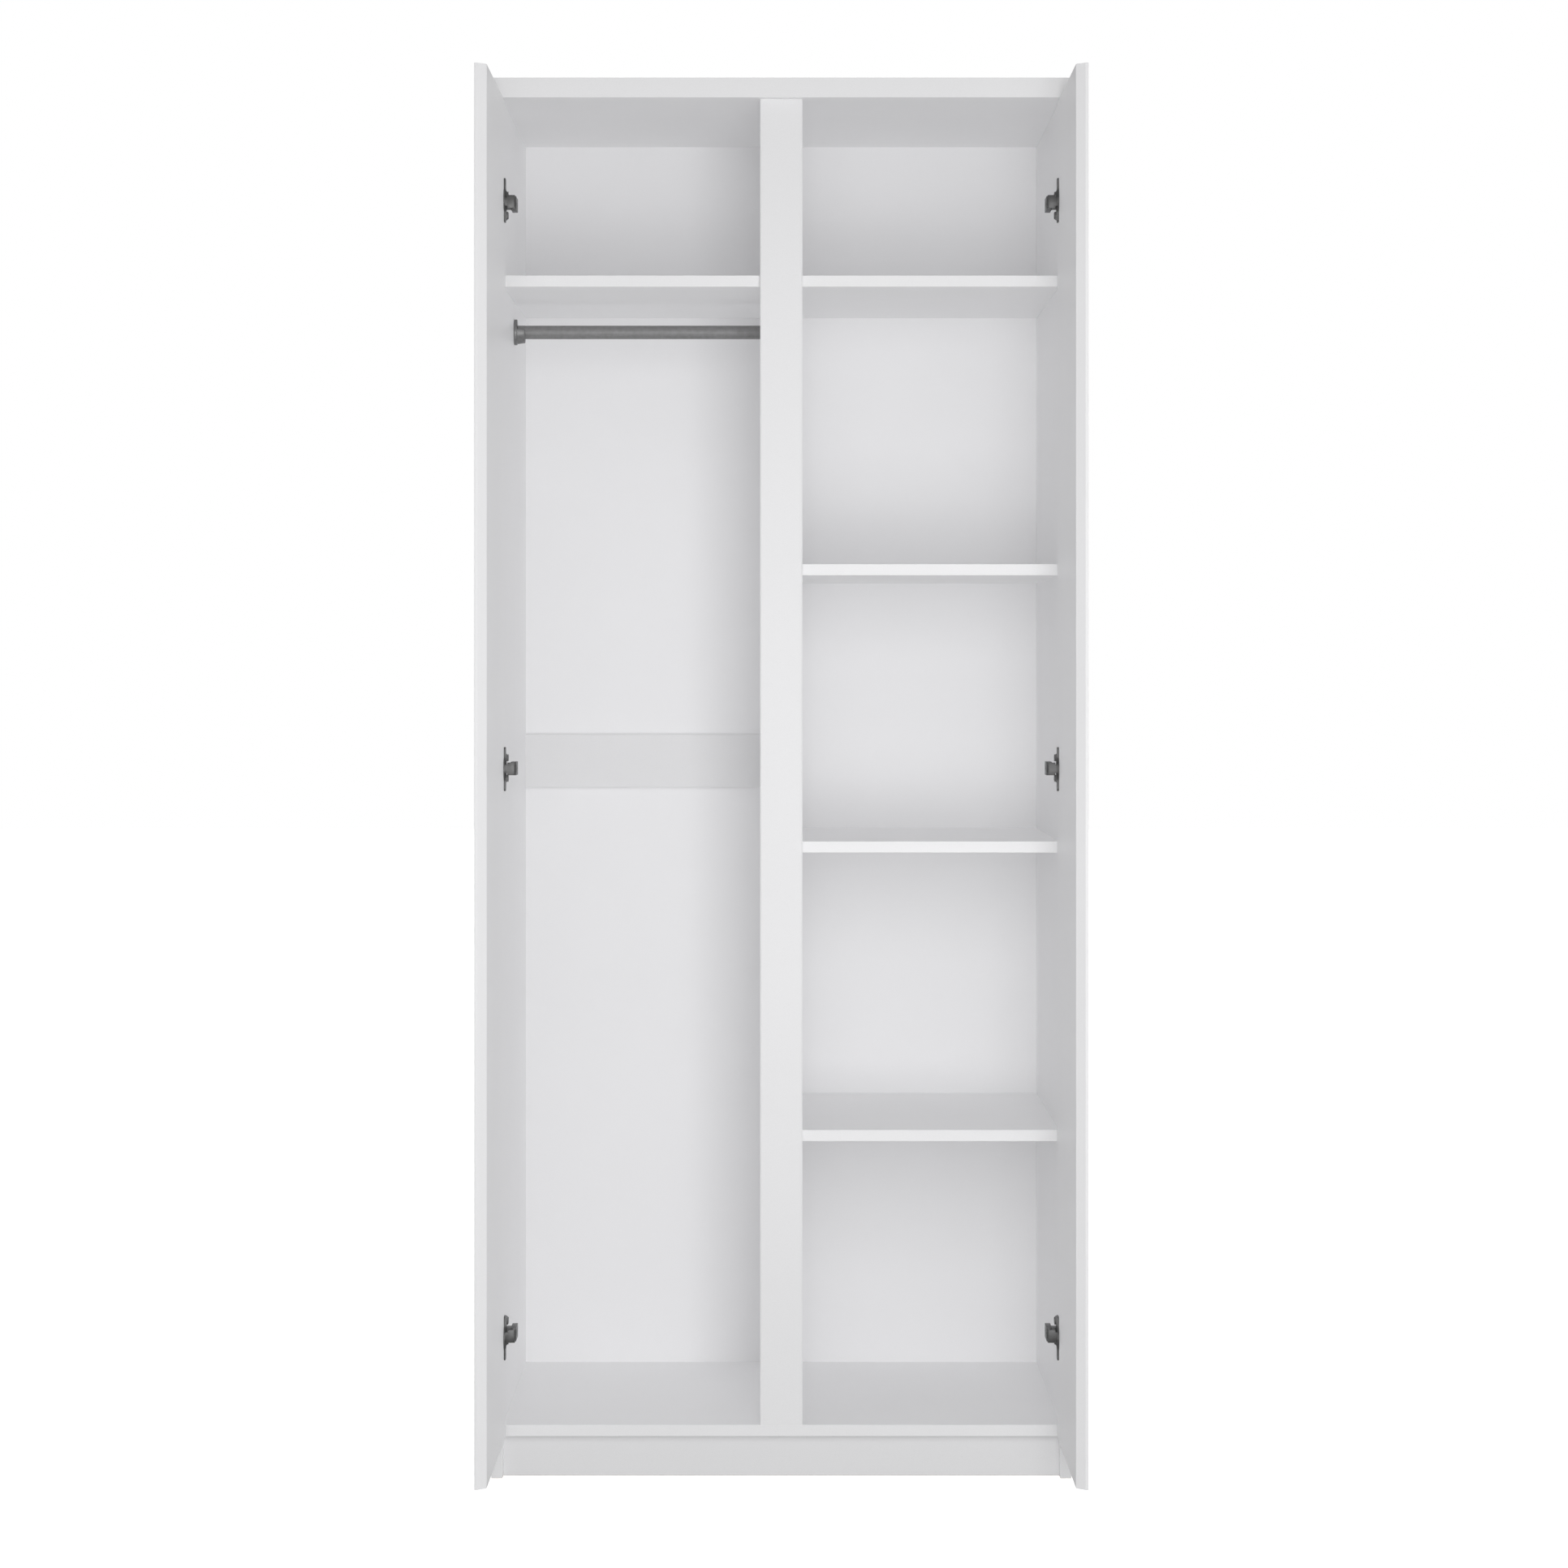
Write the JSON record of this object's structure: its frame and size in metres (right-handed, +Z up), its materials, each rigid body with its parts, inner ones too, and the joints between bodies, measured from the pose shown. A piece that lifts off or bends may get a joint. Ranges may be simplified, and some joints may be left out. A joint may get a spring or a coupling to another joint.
{
  "type": "wardrobe with doors",
  "caption": "White wardrobe with two doors: a hanging space with a rod beside shelf compartments, handle-free bevelled overlay doors on concealed cup hinges, recessed plinth, overhanging top.",
  "frame": {"origin": "on the floor, in the middle of the overall box with both doors standing open at a right angle; the carcass front edges are at y = -0.0795", "axes": "+Z up, the doors and the open front face -Y, +X to the right seen from the front"},
  "size_m": [0.824, 0.947, 1.987],
  "materials": {
    "white_laminate": "melamine-faced chipboard, white, fine satin grain",
    "back_sheet": "white lacquered hardboard, smooth",
    "hinge_steel": "dark grey coated pressed steel",
    "socket_metal": "grey die-cast",
    "rod_steel": "satin grey tube",
    "plated_steel": "zinc plated",
    "cast_zinc": "die-cast zinc",
    "beech": "raw beech, fluted"
  },
  "bodies": {
    "carcass": {"side_left": "white_laminate", "side_right": "white_laminate", "top_panel": "white_laminate", "floor_panel": "white_laminate", "plinth": "white_laminate", "divider": "white_laminate", "centre_stile": "white_laminate", "shelf_left_top": "white_laminate", "shelf_right_top": "white_laminate", "shelf_right_upper": "white_laminate", "shelf_right_middle": "white_laminate", "shelf_right_lower": "white_laminate", "back_rail": "white_laminate", "back_panel_left": "back_sheet", "back_panel_right": "back_sheet", "hanging_rod": "rod_steel", "rod_socket_left": "socket_metal", "rod_socket_right": "socket_metal", "rod_socket_screws": "plated_steel", "shelf_dowels": "beech", "panel_dowels": "beech", "panel_screws": "plated_steel", "cam_locks": "cast_zinc", "cam_bolts": "plated_steel", "back_nails": "plated_steel", "hinge_plate_left_bottom": "hinge_steel", "hinge_plate_left_middle": "hinge_steel", "hinge_plate_left_top": "hinge_steel", "hinge_plate_right_bottom": "hinge_steel", "hinge_plate_right_middle": "hinge_steel", "hinge_plate_right_top": "hinge_steel", "hinge_arm_left_bottom": "hinge_steel", "hinge_arm_left_middle": "hinge_steel", "hinge_arm_left_top": "hinge_steel", "hinge_arm_right_bottom": "hinge_steel", "hinge_arm_right_middle": "hinge_steel", "hinge_arm_right_top": "hinge_steel", "hinge_plate_screws": "plated_steel", "hinge_arm_screws": "plated_steel", "hinge_arm_pins": "plated_steel"},
    "left_hinge_links": {"hinge_link_left_bottom": "hinge_steel", "hinge_link_left_middle": "hinge_steel", "hinge_link_left_top": "hinge_steel"},
    "left_door": {"door_left": "white_laminate", "hinge_cup_left_bottom": "hinge_steel", "hinge_cup_left_middle": "hinge_steel", "hinge_cup_left_top": "hinge_steel", "hinge_cup_pins_left": "plated_steel", "hinge_cup_screws_left": "plated_steel"},
    "right_hinge_links": {"hinge_link_right_bottom": "hinge_steel", "hinge_link_right_middle": "hinge_steel", "hinge_link_right_top": "hinge_steel"},
    "right_door": {"door_right": "white_laminate", "hinge_cup_right_bottom": "hinge_steel", "hinge_cup_right_middle": "hinge_steel", "hinge_cup_right_top": "hinge_steel", "hinge_cup_pins_right": "plated_steel", "hinge_cup_screws_right": "plated_steel"}
  },
  "joints": [
    {"name": "left_link_fold", "type": "hinge", "parent": "carcass", "child": "left_hinge_links", "pos_m": [-0.37948, -0.08018, 1.008], "axis": [0, 0, -1], "range_deg": [-5.89, 35.09]},
    {"name": "left_door_swing", "type": "hinge", "parent": "left_hinge_links", "child": "left_door", "pos_m": [-0.3938, -0.0955, 1.008], "axis": [0, 0, -1], "range_deg": [-125.04, 20.84]},
    {"name": "right_link_fold", "type": "hinge", "parent": "carcass", "child": "right_hinge_links", "pos_m": [0.37948, -0.08018, 1.008], "axis": [0, 0, 1], "range_deg": [-5.89, 35.09]},
    {"name": "right_door_swing", "type": "hinge", "parent": "right_hinge_links", "child": "right_door", "pos_m": [0.3938, -0.0955, 1.008], "axis": [0, 0, 1], "range_deg": [-125.04, 20.84]}
  ],
  "couplings": [
    {"joint": "left_link_fold", "follows": "left_door_swing", "ratio": -0.28023},
    {"joint": "right_link_fold", "follows": "right_door_swing", "ratio": -0.28023}
  ]
}
